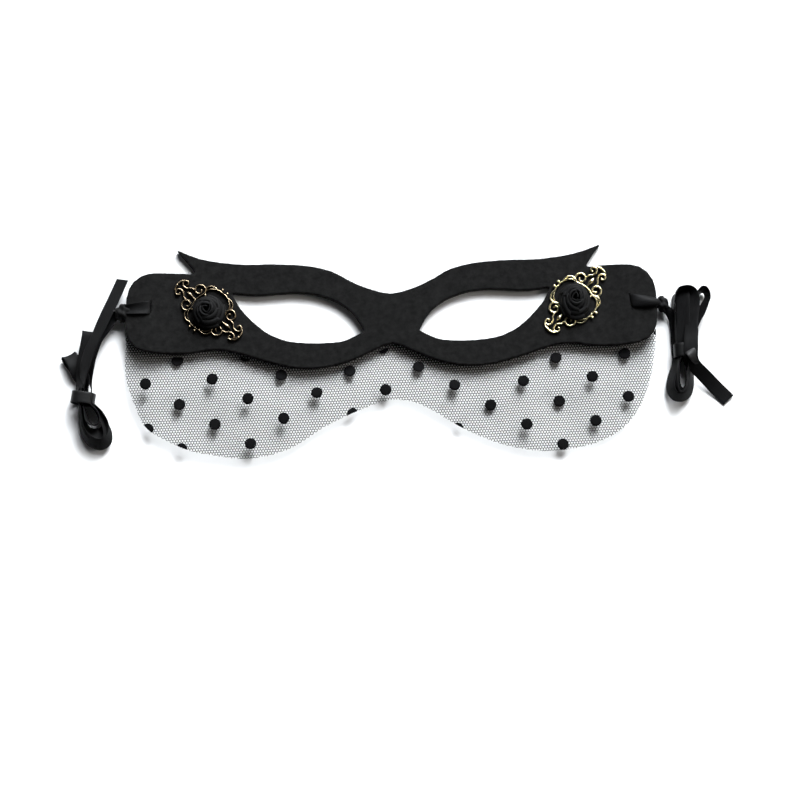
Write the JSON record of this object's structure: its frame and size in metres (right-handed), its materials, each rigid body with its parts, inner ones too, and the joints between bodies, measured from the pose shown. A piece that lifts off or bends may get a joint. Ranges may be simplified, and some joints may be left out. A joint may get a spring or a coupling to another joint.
{
  "type": "half mask",
  "caption": "Flat felt half mask with eye openings, a dotted net veil along its lower edge, pierced metal ornaments under cloth roses, and ribbon ties folded up at its sides.",
  "frame": {"origin": "on the table, under the middle of the mask's outline without its ribbons", "axes": "+X to the right seen from the front, +Y towards the brow, +Z out of the front, upwards as the mask lies on its back"},
  "size_m": [0.2822, 0.0884, 0.0109],
  "materials": {
    "felt": "matt black needled felt, 3 mm",
    "tulle": "fine black net with flocked dots",
    "antique_brass": "darkened, rubbed bright on its high places",
    "polished_brass": "polished, dark in its recesses",
    "satin": "black satin"
  },
  "bodies": {
    "root": {"felt_mask": "felt", "veil": "tulle", "filigree_left": "antique_brass", "filigree_right": "polished_brass", "rose_left": "satin", "rose_right": "satin", "ribbon_left_lead": "satin", "ribbon_left_hank": "satin", "ribbon_left_tail": "satin", "ribbon_right_lead": "satin", "ribbon_right_hank": "satin", "ribbon_right_tail": "satin"}
  },
  "joints": []
}
